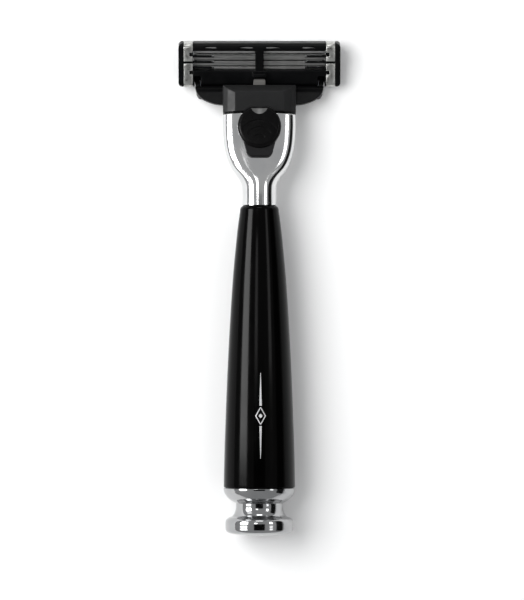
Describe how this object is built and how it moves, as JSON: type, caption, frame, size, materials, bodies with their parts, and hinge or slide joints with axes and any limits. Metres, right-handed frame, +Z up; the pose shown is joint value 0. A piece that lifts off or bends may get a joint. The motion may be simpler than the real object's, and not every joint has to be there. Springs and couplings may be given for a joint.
{
  "type": "cartridge razor",
  "caption": "Safety cartridge razor with a turned resin handle, plated neck and end cap, release button and pivoting multi-blade head.",
  "frame": {"origin": "on the surface the razor lies on, below the middle of its length and width", "axes": "+Z up from the surface (the razor lies face down, button up), +Y from the end cap to the head, +X to the right seen from above"},
  "size_m": [0.042, 0.128, 0.0186],
  "materials": {
    "black_plastic": "fine moulded satin",
    "button_plastic": "smooth satin with grip ridges",
    "grey_plastic": "satin",
    "black_resin": "polished cast resin",
    "chrome_plate": "polished chrome plating",
    "clip_aluminium": "satin rolled strip",
    "blade_steel": "fine ground",
    "spring_steel": "bright drawn or turned",
    "brass": "turned",
    "soft_rubber": "matt elastomer",
    "strip_gel": "waxy"
  },
  "bodies": {
    "handle": {"handle_barrel": "black_resin", "core_tube": "brass", "tube_bush_front": "brass", "tube_bush_rear": "brass", "neck_stud": "spring_steel", "neck_casting": "chrome_plate", "dock_insert": "black_plastic", "insert_screw": "spring_steel", "plunger_spring": "spring_steel", "end_cap": "chrome_plate", "end_cap_stud": "spring_steel", "end_cap_washer": "spring_steel"},
    "release_button": {"button_cap": "button_plastic", "ejector_slider": "black_plastic"},
    "plunger": {"plunger": "grey_plastic"},
    "interconnect": {"interconnect": "black_plastic"},
    "cartridge": {"cartridge_housing": "black_plastic", "guard_fins": "soft_rubber", "lubricating_strip": "strip_gel", "clip_left": "clip_aluminium", "clip_right": "clip_aluminium"},
    "blade_unit_1": {"blade_1": "blade_steel", "blade_support_1": "blade_steel"},
    "blade_unit_2": {"blade_2": "blade_steel", "blade_support_2": "blade_steel"},
    "blade_unit_3": {"blade_3": "blade_steel", "blade_support_3": "blade_steel"}
  },
  "joints": [
    {"name": "button_slide", "type": "slide", "parent": "handle", "child": "release_button", "axis": [0, 0.9903, -0.1392], "range_m": [0, 0.0052], "stiffness_N_per_m": 400, "springref_m": -0.004, "deforming": ["plunger_spring"]},
    {"name": "cartridge_release", "type": "slide", "parent": "handle", "child": "interconnect", "axis": [0, 0.9903, -0.1392], "range_m": [0, 0.0052]},
    {"name": "plunger_slide", "type": "slide", "parent": "handle", "child": "plunger", "axis": [0, -0.9903, 0.1392], "range_m": [0, 0.00279], "stiffness_N_per_m": 400, "springref_m": -0.004, "deforming": ["plunger_spring"]},
    {"name": "cartridge_pivot", "type": "hinge", "parent": "interconnect", "child": "cartridge", "pos_m": [0, 0.05422, 0.00159], "axis": [1, 0, 0], "range_deg": [0, 40]},
    {"name": "blade_1_spring", "type": "slide", "parent": "cartridge", "child": "blade_unit_1", "axis": [0, -0.2588, 0.9659], "range_m": [0, 0.0003], "stiffness_N_per_m": 300, "springref_m": -0.0006},
    {"name": "blade_2_spring", "type": "slide", "parent": "cartridge", "child": "blade_unit_2", "axis": [0, -0.2588, 0.9659], "range_m": [0, 0.0003], "stiffness_N_per_m": 300, "springref_m": -0.0006},
    {"name": "blade_3_spring", "type": "slide", "parent": "cartridge", "child": "blade_unit_3", "axis": [0, -0.2588, 0.9659], "range_m": [0, 0.0003], "stiffness_N_per_m": 300, "springref_m": -0.0006}
  ],
  "couplings": [
    {"joint": "cartridge_release", "follows": "button_slide", "ratio": 1},
    {"joint": "cartridge_pivot", "follows": "plunger_slide", "rad_per_m": 250}
  ]
}
